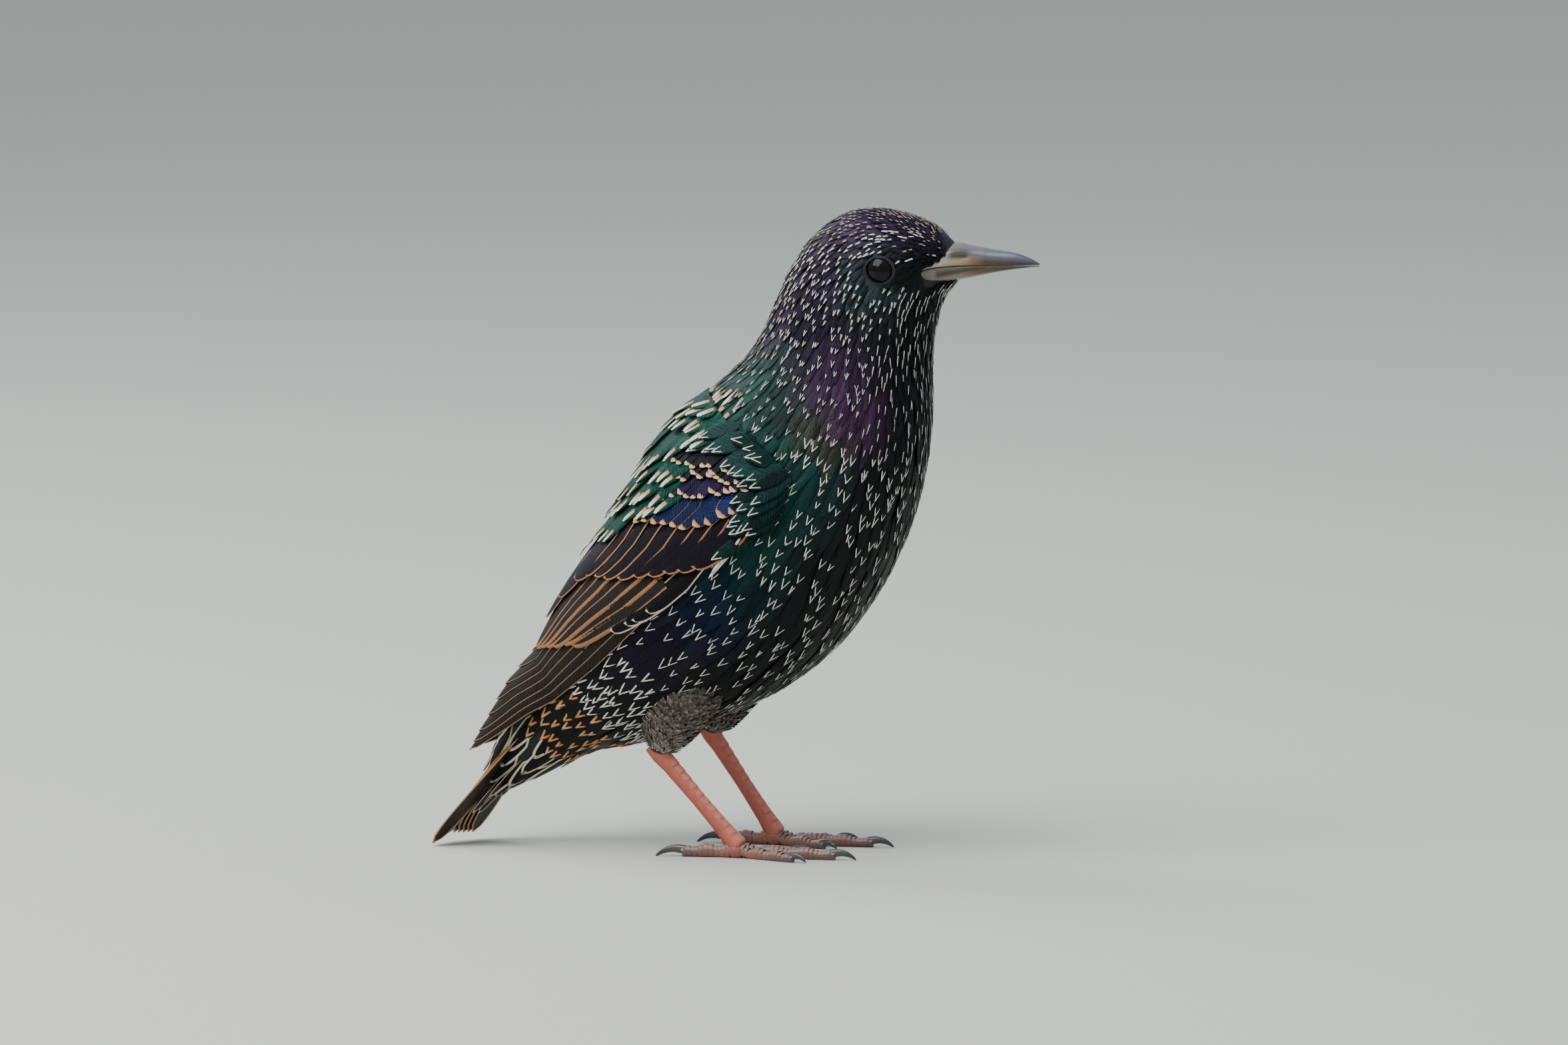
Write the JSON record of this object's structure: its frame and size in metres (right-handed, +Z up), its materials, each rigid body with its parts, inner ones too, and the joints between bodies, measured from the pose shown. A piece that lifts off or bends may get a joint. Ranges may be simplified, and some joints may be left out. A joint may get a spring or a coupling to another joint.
{
  "type": "starling",
  "caption": "Life-size starling in spotted winter plumage, standing on both feet with its head up, wings folded and tail down.",
  "frame": {"origin": "on the floor under the middle of the bird's outline", "axes": "+X the way the bird faces, +Y its left, +Z up"},
  "size_m": [0.1564, 0.0656, 0.1653],
  "materials": {
    "plumage": "glossy black body feathers with green and purple sheen and cream tips",
    "wing_feather": "brown-black flight feathers and coverts with buff edges",
    "tail_feather": "dark brown tail feathers with buff edges",
    "bill": "satin horn, blue-grey over yellow-brown",
    "eye": "wet, near-black brown",
    "leg_skin": "brick-red scaled skin",
    "claw": "grey-black horn"
  },
  "bodies": {
    "root": {"torso": "plumage", "neck": "plumage", "head": "plumage", "tail": "tail_feather", "bill_upper": "bill", "bill_lower": "bill", "eye_right": "eye", "wing_right": "wing_feather", "thigh_right": "plumage", "tarsus_right": "leg_skin", "toe_right_hind": "leg_skin", "claw_right_hind": "claw", "toe_right_inner": "leg_skin", "claw_right_inner": "claw", "toe_right_middle": "leg_skin", "claw_right_middle": "claw", "toe_right_outer": "leg_skin", "claw_right_outer": "claw", "eye_left": "eye", "wing_left": "wing_feather", "thigh_left": "plumage", "tarsus_left": "leg_skin", "toe_left_hind": "leg_skin", "claw_left_hind": "claw", "toe_left_inner": "leg_skin", "claw_left_inner": "claw", "toe_left_middle": "leg_skin", "claw_left_middle": "claw", "toe_left_outer": "leg_skin", "claw_left_outer": "claw"}
  },
  "joints": []
}
